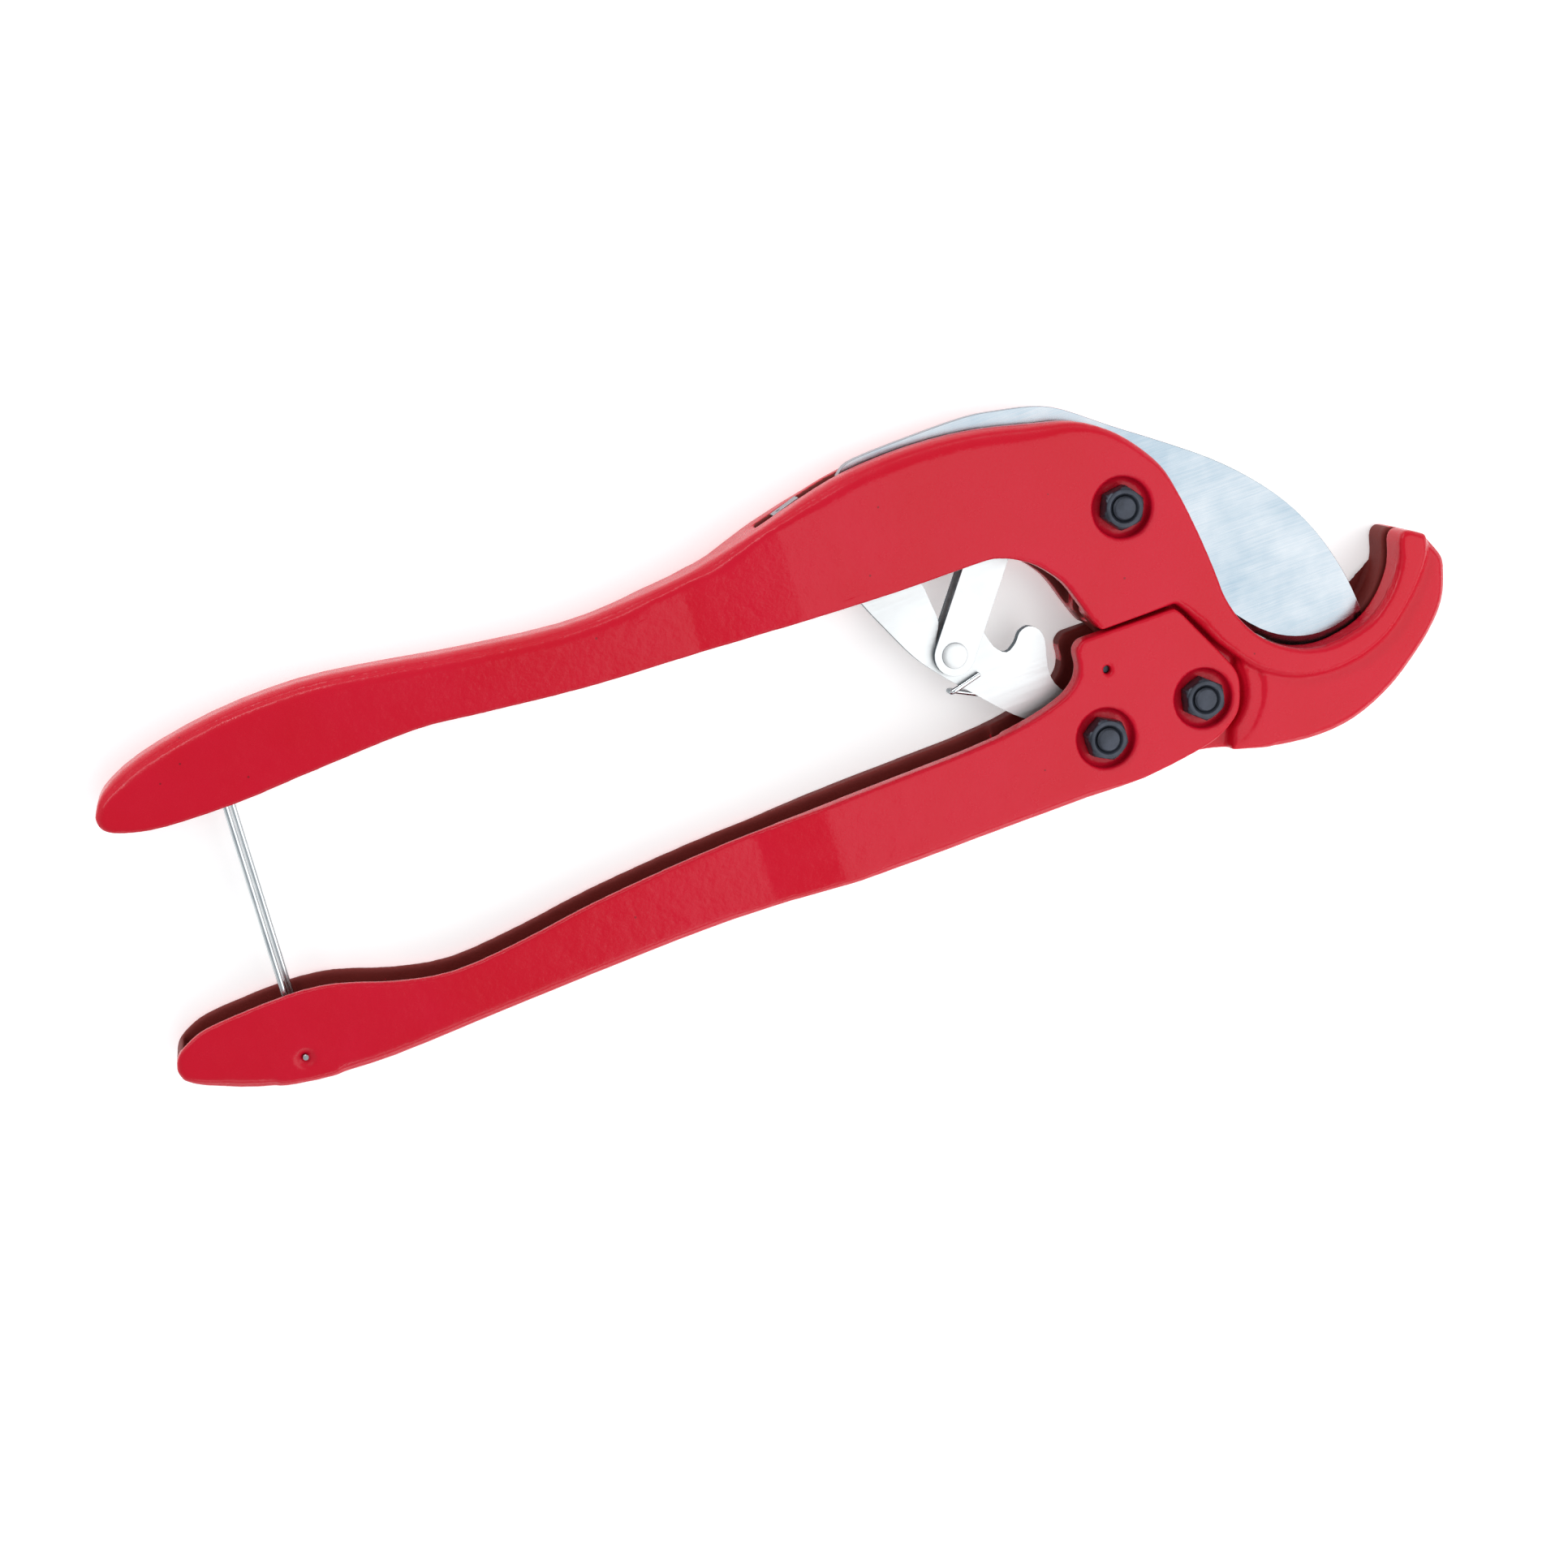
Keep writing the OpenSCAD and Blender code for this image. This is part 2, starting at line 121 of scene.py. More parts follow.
def material(name):
    """An empty node material, with its tree and the socket that the surface goes into."""
    m = bpy.data.materials.new(name)
    m.use_nodes = True
    m.node_tree.nodes.clear()
    return m, m.node_tree, m.node_tree.nodes.new("ShaderNodeOutputMaterial").inputs["Surface"]


print("mid grey in linear light", round(linear("#808080")[0], 3))

# %% [markdown]
# ## Light
# Glossy paint and ground steel show mostly what they reflect, so the light is made of large soft shapes. A
# wide panel overhead and to the right lays a sheen on the flat red faces. Two narrow panels draw thin lines
# along rounded edges. The sky is pale at the horizon and greyer above, so that flat steel has some tone.


# %% Light
def panel(name, place, target, width, height, power, colour="#ffffff"):
    """A soft rectangular light that faces a target."""
    lamp = bpy.data.lights.new(name, "AREA")
    lamp.shape = "RECTANGLE"
    lamp.size, lamp.size_y = width, height
    lamp.energy = power
    lamp.color = linear(colour)[:3]
    holder = bpy.data.objects.new(name, lamp)
    holder.location = place
    holder.rotation_euler = (Vector(place) - Vector(target)).to_track_quat("Z", "Y").to_euler()
    scene.collection.objects.link(holder)


tool_middle = from_blade(-120, -20, 0)
panel("overhead_softbox", from_blade(650, -420, 850), from_blade(650, -420, 0), 1.5, 1.3, 11)
panel("left_strip", from_blade(-500, 700, 420), tool_middle, 0.9, 0.10, 3.2)
panel("near_strip", from_blade(-200, -900, 500), tool_middle, 1.2, 0.12, 2.0)

world = bpy.data.worlds.new("pale_studio")
scene.world = world
world.use_nodes = True
tree = world.node_tree
direction = add(tree, "TexCoord").outputs["Generated"]
height = add(tree, "SeparateXYZ", Vector=direction).outputs["Z"]
sky = add(tree, "ValToRGB", Fac=height)
sky.color_ramp.elements[0].color = linear("#f4f5f6")
sky.color_ramp.elements[1].color = linear("#a9acb0")
sky.color_ramp.elements[1].position = 0.9
tree.links.new(sky.outputs["Color"], tree.nodes["Background"].inputs["Color"])
tree.nodes["Background"].inputs["Strength"].default_value = 1.0

# %% [markdown]
# ## Floor
# The tool lies on a light table: a sheet of white opal acrylic with a weak glow of its own. The glow thins
# out the shadow under the tool and keeps the ground plain. The sheet is wide enough to have no edge in
# sight from any side.

# %% Floor
floor_size = 20.0                # half the width of the sheet, in metres
grain = 900.0                    # grains of tone per metre, a little over 1 mm each
glow = 0.35
grid = bmesh.new()
bmesh.ops.create_grid(grid, x_segments=4, y_segments=4, size=floor_size)
floor_mesh = bpy.data.meshes.new("floor")
grid.to_mesh(floor_mesh)
grid.free()
floor = bpy.data.objects.new("floor", floor_mesh)
scene.collection.objects.link(floor)
acrylic, tree, surface = material("opal_light_table")
place = add(tree, "TexCoord").outputs["Object"]
cloud = add(tree, "TexNoise", Vector=place, Scale=grain, Detail=4.0)
tone = add(tree, "Mix", {"data_type": "RGBA"}, i0=cloud.outputs["Fac"], i6=linear("#f3f3f2"),
           i7=linear("#fbfbfa"))
sheet = add(tree, "BsdfPrincipled", Base_Color=tone.outputs[2], Roughness=0.9, Specular_IOR_Level=0.1,
            Emission_Color=linear("#ffffff"), Emission_Strength=glow)
tree.links.new(sheet.outputs["BSDF"], surface)
floor.data.materials.append(acrylic)
print("floor width in m", 2 * floor_size)

# %% [markdown]
# ## Red powder coat
# The castings are sprayed with dry powder, which melts in an oven to a thick glossy skin. It follows the
# casting's slow waves, dries with a fine orange peel, and traps a few dark specks. On the walls inside the
# channels, the slots and the hook, shade is painted into the coat: it is dark red there, and duller.
# Every pattern is measured in real millimetres: a noise texture's scale is one divided by the size of a
# grain in metres. The patterns use object coordinates, so they stay put on the metal when a joint turns.


# %% Powder coat over a cast body
def per(grain_mm):
    """Texture scale that gives grains of that size in mm."""
    return 1 / (grain_mm * MM)


speck_cell = 9                   # one speck at most in each cell of this size, in mm
speck_reach = 0.045              # radius of a speck, as a share of its cell
speck_skip = 0.62                # share of the cells that have no speck
peel_mm, peel_depth = 1.6, 0.018
wave_mm, wave_depth = 7, 0.3


def powder_coat():
    """Red powder coat: a thick plastic skin, glossy, with orange peel over the casting's slow waves."""
    m, tree, surface = material("red_powder_coat_on_casting")
    place = add(tree, "TexCoord").outputs["Object"]
    clouds = add(tree, "TexNoise", Vector=place, Scale=per(38), Detail=3.0, Roughness=0.6)
    coat = add(tree, "Mix", {"data_type": "RGBA"}, i0=clouds.outputs["Fac"], i6=linear("#b90c1c"),
               i7=linear("#c2102e"))
    inside = add(tree, "Attribute", {"attribute_name": "inside"})
    # Painted shade: the inside walls get a dark red in place of the coat's colour.
    thin = add(tree, "Mix", {"data_type": "RGBA"}, i0=inside.outputs["Fac"], i6=coat.outputs[2],
               i7=linear("#6c1f1b"))
    cells = add(tree, "TexVoronoi", Vector=place, Scale=per(speck_cell))
    cell_value = add(tree, "SeparateColor", Color=cells.outputs["Color"]).outputs["Red"]
    speck = add(tree, "Math", {"operation": "LESS_THAN"}, i0=cells.outputs["Distance"], i1=speck_reach)
    rare = add(tree, "Math", {"operation": "GREATER_THAN"}, i0=cell_value, i1=speck_skip)
    dark_speck = add(tree, "Math", {"operation": "MULTIPLY"}, i0=speck.outputs[0], i1=rare.outputs[0])
    colour = add(tree, "Mix", {"data_type": "RGBA"}, i0=dark_speck.outputs[0], i6=thin.outputs[2],
                 i7=linear("#8e1722"))
    peel = add(tree, "TexNoise", Vector=place, Scale=per(peel_mm), Detail=2.0)
    waves = add(tree, "TexNoise", Vector=place, Scale=per(wave_mm), Detail=4.0, Roughness=0.65)
    fine = add(tree, "Bump", Height=peel.outputs["Fac"], Strength=1.0, Distance=peel_depth * MM)
    relief = add(tree, "Bump", Height=waves.outputs["Fac"], Strength=1.0, Distance=wave_depth * MM,
                 Normal=fine.outputs[0])
    gloss = add(tree, "MapRange", i0=waves.outputs["Fac"], i1=0.3, i2=0.7, i3=0.2, i4=0.3)
    dull = add(tree, "Mix", i0=inside.outputs["Fac"], i2=gloss.outputs[0], i3=0.6)
    skin = add(tree, "BsdfPrincipled", Base_Color=colour.outputs[2], Roughness=dull.outputs[0], IOR=1.5,
               Specular_IOR_Level=0.22, Normal=relief.outputs[0])
    tree.links.new(skin.outputs["BSDF"], surface)
    return m


print("speck radius in mm", round(speck_reach * speck_cell, 2))

# %% [markdown]
# ## Steels
# The blade is ground and polished, so it has long fine lines and a cool tone. The flat parts are pressed
# and plated, so their faces are pale and even. The fasteners are blackened in a hot salt bath, which leaves
# a thin blue-black oxide. The wire is drawn through a die, so its lines run along it. One recipe makes all
# of them: a face tone, a painted shade on faces that stand upright, in place of the dark reflections their
# sides catch, and lines that change the gloss and the relief.


# %% Steels
def steel(name, pale, dark, side, roughness, streak_mm, depth_mm, cloud_mm=25, metallic=1.0,
          stretch=(0.03, 1, 1)):
    """A bare, plated or blackened steel: slow clouds of tone under fine lines left by the process, with painted
    shade on upright faces.
    """
    m, tree, surface = material(name)
    place = add(tree, "TexCoord").outputs["Object"]
    clouds = add(tree, "TexNoise", Vector=place, Scale=per(cloud_mm), Detail=4.0, Roughness=0.55)
    along = add(tree, "Mapping", Vector=place, Scale=stretch)
    lines = add(tree, "TexNoise", Vector=along.outputs[0], Scale=per(streak_mm), Detail=5.0, Roughness=0.7)
    both = add(tree, "Mix", i0=0.35, i2=clouds.outputs["Fac"], i3=lines.outputs["Fac"])
    spread = add(tree, "MapRange", i0=both.outputs[0], i1=0.32, i2=0.68)
    face = add(tree, "Mix", {"data_type": "RGBA"}, i0=spread.outputs[0], i6=linear(dark), i7=linear(pale))
    # Painted shade: faces that stand upright take the side colour, in place of the dark reflections they catch.
    facing = add(tree, "SeparateXYZ", Vector=add(tree, "TexCoord").outputs["Normal"]).outputs["Z"]
    flat = add(tree, "MapRange", i0=add(tree, "Math", {"operation": "ABSOLUTE"}, i0=facing).outputs[0],
               i1=0.2, i2=0.7)
    tone = add(tree, "Mix", {"data_type": "RGBA"}, i0=flat.outputs[0], i6=linear(side), i7=face.outputs[2])
    gloss = add(tree, "MapRange", i0=lines.outputs["Fac"], i1=0.3, i2=0.7, i3=roughness[0], i4=roughness[1])
    grain = add(tree, "Bump", Height=lines.outputs["Fac"], Strength=1.0, Distance=depth_mm * MM)
    metal = add(tree, "BsdfPrincipled", Base_Color=tone.outputs[2], Metallic=metallic,
                Roughness=gloss.outputs[0], Normal=grain.outputs[0])
    tree.links.new(metal.outputs["BSDF"], surface)
    return m


# Each steel's third colour is the painted shade on its upright faces.
finish = {
    "red_coat": powder_coat(),
    "blade_steel": steel("ground_and_polished_tool_steel", "#b6b8ba", "#8595a0", "#8a959c", (0.2, 0.3),
                         streak_mm=0.5, depth_mm=0.003, cloud_mm=30),
    "plate_steel": steel("nickel_plated_pressed_steel", "#dadcdc", "#c8cccd", "#59666d", (0.42, 0.54),
                         streak_mm=0.8, depth_mm=0.004),
    "bright_zinc": steel("bright_zinc_plated_steel", "#cfd3d6", "#a9b0b6", "#8f989e", (0.3, 0.45),
                         streak_mm=1.0, depth_mm=0.006, cloud_mm=6),
    "black_oxide": steel("blackened_steel_fasteners", "#3b404b", "#22262e", "#2c313a", (0.3, 0.45),
                         streak_mm=0.7, depth_mm=0.01, cloud_mm=5, metallic=0.55, stretch=(1, 1, 1)),
    "spring_wire": steel("bright_drawn_spring_wire", "#e6ebec", "#bcc4c8", "#8d979c", (0.18, 0.3),
                         streak_mm=0.4, depth_mm=0.004, cloud_mm=12, stretch=(1, 0.05, 1)),
}
print("finishes", [m.name for m in finish.values()])


# %% [markdown]
# ## Pieces from the CAD shape
# Each piece that shows is rebuilt from its CAD node, at the same place and size, and stands for it. The CAD
# mesh cuts flat faces into triangles, so a copy is first joined back into whole faces: an edge is then a
# real edge of the part and can be rounded.


# %% Placing a piece
def place_piece(mesh, name, *nodes):
    """Makes the mesh a piece that rides with its CAD node, replaces it and takes its finish."""
    node = nodes[0]
    piece = bpy.data.objects.new(name, mesh)
    scene.collection.objects.link(piece)
    mesh.materials.clear()
    mesh.materials.append(finish[slot_of_node[node]])
    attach(piece, body_of_node[node])
    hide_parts(*nodes)
    return piece


def shade(mesh, sharp_deg):
    """Smooth shading, with a crisp line wherever faces meet at more than an angle."""
    mesh.polygons.foreach_set("use_smooth", [True] * len(mesh.polygons))
    mesh.set_sharp_from_angle(angle=math.radians(sharp_deg))


def clean_copy(node):
    """The CAD node's shape with its flat faces whole, as a bmesh."""
    shape = bmesh.new()
    shape.from_mesh(frame["nodes"][node].data)
    bmesh.ops.remove_doubles(shape, verts=shape.verts, dist=0.001 * MM)
    bmesh.ops.dissolve_limit(shape, angle_limit=math.radians(0.3), verts=shape.verts, edges=shape.edges)
    return shape


def baked(mesh, modifiers):
    """The mesh with a stack of modifiers applied. Each is (type, settings)."""
    carrier = bpy.data.objects.new("carrier", mesh)
    scene.collection.objects.link(carrier)
    for kind, settings in modifiers:
        step = carrier.modifiers.new(kind, kind)
        for name, value in settings.items():
            setattr(step, name, value)
    graph = bpy.context.evaluated_depsgraph_get()
    result = bpy.data.meshes.new_from_object(carrier.evaluated_get(graph), depsgraph=graph)
    bpy.data.objects.remove(carrier)
    bpy.data.meshes.remove(mesh)
    return result


print("nodes of each body", {b: sum(v == b for v in body_of_node.values()) for b in body_of_node.values()})

# %% [markdown]
# ## The two castings: edges
# The head with the upper handle, and the lower handle, are castings. A mould leaves no sharp edge: the backs
# of the handles are rounded for the hand, rims are softened, and inner corners are filled. Each edge of the
# CAD shape gets its own radius, by where it is: a bore's rim is just broken, the rims of slots and of the
# nuts' recesses are softer, the outer rims softer still, and the backs full and round. A wide bevel would
# tear where the outline turns tightly, so bevels stay small, and the large roundings are pressed in later.

# %% Edge radii
voxel = 0.6 * MM
widest = 9.0                     # largest rounding of a back, in mm
broken = 1.2                     # widest bevel, in mm: larger roundings are pressed in afterwards
face_budget = 190_000            # triangles kept on each casting
seat_centre = from_blade(58.5, -35.5, 14)
level = 0.9                      # a face is level where its normal's z is above this
upright = 0.3                    # and upright where it is below this
recess_reach = 10.6              # edges this near to a pivot, in mm, belong to a nut's recess
bore_reach = 9.0                 # and those nearer than this to its bore
bend_angle = math.radians(25)    # a smaller bend between two faces is part of a curve, not an edge
rim_mm = {"recess": 0.8, "bore": 0.3, "corner": 0.6, "fillet": 0.8, "slot": 0.6, "outer": 1.1}
back_lean = 0.25                 # a wall belongs to a back where its normal's y is beyond this
seat_r = 30 * MM
head_start = blade_pivot.x - 10 * MM
back_mm = {"hook": 4.0, "head_far": 8.5, "head_near": 6.5, "head_front": 3.0, "lever_far": 7.0,
           "lever_near": 5.0}


def tight_corners(shape):
    """For each vertex, the largest rounding in mm that the outline's own bend leaves room for."""
    room = {}
    for face in shape.faces:
        if abs(face.normal.z) < level:
            continue
        for loop in face.loops:
            before = loop.vert.co - loop.link_loop_prev.vert.co
            after = loop.link_loop_next.vert.co - loop.vert.co
            turn = before.angle(after, 0)
            if before.cross(after).dot(face.normal) > 0 and turn > 0.02:
                radius = 0.75 * min(before.length, after.length) / turn / MM
                room[loop.vert.index] = min(room.get(loop.vert.index, widest), radius)
    return room


def edge_radius(edge):
    """Radius in mm for one edge of a casting, or 0 where the skin stays as it is."""
    angle = edge.calc_face_angle_signed(0)
    if abs(angle) < bend_angle:
        return 0
    cap, wall = sorted(edge.link_faces, key=lambda f: -abs(f.normal.z))
    middle = (edge.verts[0].co + edge.verts[1].co) / 2
    if abs(cap.normal.z) < level or abs(wall.normal.z) > upright:
        return rim_mm["corner"] if abs(cap.normal.z) < upright else 0
    near = min((middle - p).to_2d().length for p in (blade_pivot, handle_pivot, ratchet_pivot)) / MM
    outward = cap.normal.z * (middle.z - mid_z) > 0
    if near < recess_reach:
        return rim_mm["recess" if near > bore_reach else "bore"]
    if angle < 0:
        return rim_mm["fillet"]
    return rim_mm["outer" if outward else "slot"]


def back_radius(edge, is_head):
    """Radius in mm of the full rounding that a hand or a pipe slides over, or 0 on any other edge."""
    wall = min(edge.link_faces, key=lambda f: abs(f.normal.z))
    middle = (edge.verts[0].co + edge.verts[1].co) / 2
    side = "far" if middle.z < mid_z else "near"
    faces_up, faces_down = wall.normal.y > back_lean, wall.normal.y < -back_lean
    if is_head:
        from_seat = (middle - seat_centre).to_2d()
        outside = from_seat.dot(wall.normal.to_2d()) > 0 and from_seat.length > seat_r
        if middle.x > handle_pivot.x and outside:
            return back_mm["hook"]
        if faces_up and middle.x < head_start:
            return back_mm["head_" + side]
        if faces_up and middle.y > blade_pivot.y:
            return back_mm["head_front"]
    elif faces_down and middle.x < ratchet_pivot.x:
        return back_mm["lever_" + side]
    return 0.0


print("bevels up to", max(rim_mm.values()), "mm and backs up to", max(back_mm.values()), "mm")

# %% [markdown]
# ## The two castings: skin
# The shape with its small bevels is remeshed into an even net of 0.6 mm. Then the square corners along the
# backs are pressed round: a square section is mapped on to a disc, which keeps every point inside the CAD
# shape. A few rounds of smoothing let the roundings flow into each other, as they do on a casting, and slow
# noise sinks the skin by less than 0.15 mm, so that long reflections waver as they do on cast metal.

# %% Casting skin
channel_half = 7.2 * MM          # just inside the clear width of the channels
hook_start = blade_pivot.x + 35 * MM
hook_reach = 36 * MM             # the inside of the hook is no further than this from the seat's centre
skin_waves = ((0.05, 6), (0.02, 2.4))   # height and length of the two kinds of wave, in mm
skin_sink = 0.07                 # the skin sinks by as much as the waves can rise
facing = 0.3                     # a wall faces a way where its normal's share of it is above this


rim_step = 0.5 * MM
radius_blend, outward_blend = 12 * MM, 3 * MM   # reach over which radii and directions are averaged


def rims(shape, is_head, room):
    """Points along the outline of each outer face: place, outward direction and radius in mm."""
    found = {1: [], -1: []}
    for edge in shape.edges:
        cap, wall = sorted(edge.link_faces, key=lambda f: -abs(f.normal.z))
        middle = (edge.verts[0].co + edge.verts[1].co) / 2
        side = 1 if middle.z > mid_z else -1
        near = min((middle - p).to_2d().length for p in (blade_pivot, handle_pivot, ratchet_pivot))
        convex = edge.calc_face_angle_signed(0) > bend_angle
        square = cap.normal.z * side >= level and abs(wall.normal.z) <= upright
        if not convex or not square or near < recess_reach * MM:
            continue
        radius = min([back_radius(edge, is_head)] + [room.get(v.index, widest) for v in edge.verts])
        steps = max(1, int(edge.calc_length() / rim_step))
        for k in range(steps):
            spot = edge.verts[0].co.lerp(edge.verts[1].co, (k + 0.5) / steps)
            found[side].append([spot, wall.normal.to_2d().normalized(), radius])
    smoothed = {}
    for side, points in found.items():
        tree = KDTree(len(points))
        for k, (spot, _, _) in enumerate(points):
            tree.insert((spot.x, spot.y, 0), k)
        tree.balance()
        rows = []
        for spot, _, _ in points:
            around = [k for _, k, _ in tree.find_range((spot.x, spot.y, 0), radius_blend)]
            close = [k for _, k, _ in tree.find_range((spot.x, spot.y, 0), outward_blend)]
            out = sum((points[k][1] for k in close), Vector((0, 0))).normalized()
            rows.append((spot, out, sum(points[k][2] for k in around) / len(around)))
        smoothed[side] = (tree, rows)
    return smoothed


def round_backs(mesh, rim):
    """Presses the square corners along the backs into round ones: a square section becomes a disc."""
    spots = []
    for vertex in mesh.vertices:
        co = vertex.co.copy()
        side = 1 if co.z > mid_z else -1
        tree, rows = rim[side]
        spot, out, radius = rows[tree.find((co.x, co.y, 0))[1]]
        radius *= MM
        across = radius + (co - spot).to_2d().dot(out)
        down = radius - side * (spot.z - co.z)
        if across > 0 and down > 0 and radius > 0.5 * MM and (co - spot).to_2d().length < 1.5 * radius:
            pull = max(across, down) / math.hypot(across, down)
            shift = out * across * (pull - 1)
            co += Vector((shift.x, shift.y, side * down * (pull - 1)))
        spots.extend(co)
    mesh.vertices.foreach_set("co", spots)
    mesh.update()


def in_painted_shade(co, normal, is_head):
    """True on walls inside a channel, a slot or the hook, which face the middle plane or the open side; these get
    painted shade.
    """
    to_seat = (seat_centre - co).to_2d()
    if is_head and co.z < mid_z and co.x > hook_start and to_seat.length < hook_reach:
        return normal.to_2d().dot(to_seat) > 0
    if normal.z * math.copysign(1, co.z - mid_z) < -0.4:
        return True
    if not is_head and co.z < mid_z and normal.y > facing:
        return True
    if abs(co.z - mid_z) > channel_half:
        return False
    if is_head:
        return normal.y < -facing and co.x < head_start
    return normal.y > facing or normal.x > 0.5


def casting(node, name, is_head):
    """A casting's skin: rounded, relaxed and slightly uneven, with its inside walls marked for painted shade."""
    shape = clean_copy(node)
    room = tight_corners(shape)
    weight = shape.edges.layers.float.new("bevel_weight_edge")
    for edge in shape.edges:
        limit = min(room.get(v.index, widest) for v in edge.verts)
        edge[weight] = min(edge_radius(edge), limit) / broken
    rim = rims(shape, is_head, room)
    mesh = bpy.data.meshes.new(name)
    shape.to_mesh(mesh)
    shape.free()
    mesh = baked(mesh, [
        ("BEVEL", {"limit_method": "WEIGHT", "width": broken * MM, "segments": 3, "use_clamp_overlap": False,
                   "offset_type": "OFFSET"}),
        ("REMESH", {"mode": "VOXEL", "voxel_size": voxel}),
    ])
    round_backs(mesh, rim)
    mesh.calc_loop_triangles()
    mesh = baked(mesh, [("SMOOTH", {"factor": 0.5, "iterations": 12}),
                        ("DECIMATE", {"ratio": min(1.0, face_budget / len(mesh.loop_triangles))})])
    # The inside attribute marks the walls that get painted shade in the red coat.
    inside = mesh.attributes.new("inside", "FLOAT", "POINT")
    normals = [v.normal.copy() for v in mesh.vertices]
    values, spots = [], []
    for vertex, normal in zip(mesh.vertices, normals):
        values.append(float(in_painted_shade(vertex.co, normal, is_head)))
        rise = sum(noise.noise(vertex.co * per(length)) * height for height, length in skin_waves)
        spots.extend(vertex.co + normal * (rise - skin_sink) * MM)
    mesh.vertices.foreach_set("co", spots)
    mesh.update()
    inside.data.foreach_set("value", values)
    shade(mesh, 60)
    print(name, len(mesh.vertices), "vertices")
    return place_piece(mesh, name, node)


casting("fixed_body", "fixed_body_casting", True)
casting("moving_handle", "moving_handle_casting", False)

# %% [markdown]
# ## The blade
# The blade is a plate of tool steel. Its cutting edge is ground from both faces, in a slope a few
# millimetres wide that meets in a thin edge. The CAD model has a thin strip there, so the strip's
# inner line is raised to the full thickness and its outer line is closed to the edge.

# %% Blade
blade_half = 1.8 * MM            # half the plate's thickness
strip_half = 0.9 * blade_half    # the CAD model's edge strip is thinner than this
edge_half = 0.12 * MM            # half the thickness left at the cutting edge


def ground_blade():
    """The blade's plate with both ground slopes, and its other edges slightly broken."""
    shape = clean_copy("blade")
    full = {(round(v.co.x, 5), round(v.co.y, 5)) for v in shape.verts
            if abs(v.co.z - mid_z) > strip_half}
    for vertex in shape.verts:
        side = math.copysign(1, vertex.co.z - mid_z)
        if abs(vertex.co.z - mid_z) < strip_half:
            on_line = (round(vertex.co.x, 5), round(vertex.co.y, 5)) in full
            vertex.co.z = mid_z + side * (blade_half if on_line else edge_half)
    bmesh.ops.remove_doubles(shape, verts=shape.verts, dist=0.01 * MM)
    bmesh.ops.dissolve_degenerate(shape, dist=0.01 * MM, edges=shape.edges)
    bmesh.ops.triangulate(shape, faces=[f for f in shape.faces if len(f.verts) > 4], ngon_method="BEAUTY")
    shape.normal_update()
    weight = shape.edges.layers.float.new("bevel_weight_edge")
    for edge in shape.edges:
        if edge.is_manifold and edge.calc_face_angle(0) > math.radians(60):
            thin = max(abs(v.co.z - mid_z) for v in edge.verts) < strip_half
            edge[weight] = 0.0 if thin else 1.0
    mesh = bpy.data.meshes.new("blade_ground")
    shape.to_mesh(mesh)
    shape.free()
    mesh = baked(mesh, [("BEVEL", {"limit_method": "WEIGHT", "width": 0.3 * MM, "segments": 2,
                                   "use_clamp_overlap": True})])
    shade(mesh, 12)
    return place_piece(mesh, "blade_ground", "blade")


blade = ground_blade()
print("blade", len(blade.data.vertices), "vertices")

# %% [markdown]
# ## Pressed and turned parts
# Sheet parts are stamped: a press leaves one soft edge and small radii. Bushes, spacers and pins are
# turned and deburred. Both only need their edges broken by a few tenths of a millimetre.

# %% Broken edges
broken_edges = {
    "ratchet_plate": 0.35, "link_arm_far": 0.3, "link_arm_near": 0.3, "slot_clip": 0.2, "latch_catch": 0.3,
    "blade_bush": 0.2, "blade_shims": 0.1, "handle_bush": 0.3, "ratchet_bush": 0.3, "ratchet_spacer": 0.3,
    "notch_roller": 0.2, "spring_anchor_pin": 0.3,
}


def deburred(node, radius):
    """A stamped or turned part with every sharp edge broken by a small radius, in mm."""
    shape = clean_copy(node)
    mesh = bpy.data.meshes.new(node + "_deburred")
    shape.to_mesh(mesh)
    shape.free()
    mesh = baked(mesh, [("BEVEL", {"limit_method": "ANGLE", "angle_limit": math.radians(40),
                                   "width": radius * MM, "segments": 2})])
    shade(mesh, 12)
    return place_piece(mesh, node + "_deburred", node)


for node, radius in broken_edges.items():
    deburred(node, radius)
print("deburred parts", len(broken_edges))


# %% [markdown]
# ## A lathe for nuts, bolts and rivets
# A nut starts as a slice of hexagon bar and is turned on a lathe, which cuts the corners back to a cone.
# Where the cone meets the flats it leaves a curved line. The same lathe idea makes them here: a profile is
# spun round the axis, and no point may go further out than the hexagon. A boolean with a cone would give
# the same line but an uneven net, which shades badly.

# %% Lathe
def lathe(name, axis, profile, across_flats=None, turn=0.0, ring=96):
    """Spins (radius, height) pairs, in metres, round an upright axis, inside a hexagon where one is given."""
    verts, faces, rows = [], [], []
    for radius, z in profile:
        if radius < 0.001 * MM:
            rows.append([len(verts)] * ring)
            verts.append((axis.x, axis.y, z))
            continue
        rows.append(list(range(len(verts), len(verts) + ring)))
        for k in range(ring):
            angle = math.tau * k / ring
            reach = radius
            if across_flats:
                to_flat = (angle - turn) % (math.pi / 3) - math.pi / 6
                reach = min(radius, across_flats / 2 / math.cos(to_flat))
            verts.append((axis.x + reach * math.cos(angle), axis.y + reach * math.sin(angle), z))
    for low, high in zip(rows, rows[1:] + ([rows[0]] if profile[0][0] > 0 else [])):
        for k in range(ring):
            corners = [low[k], low[(k + 1) % ring], high[(k + 1) % ring], high[k]]
            faces.append(list(dict.fromkeys(corners)))
    mesh = bpy.data.meshes.new(name)
    mesh.from_pydata(verts, [], faces)
    shape = bmesh.new()
    shape.from_mesh(mesh)
    bmesh.ops.recalc_face_normals(shape, faces=shape.faces)
    shape.to_mesh(mesh)
    shape.free()
    shade(mesh, 28)
    return mesh


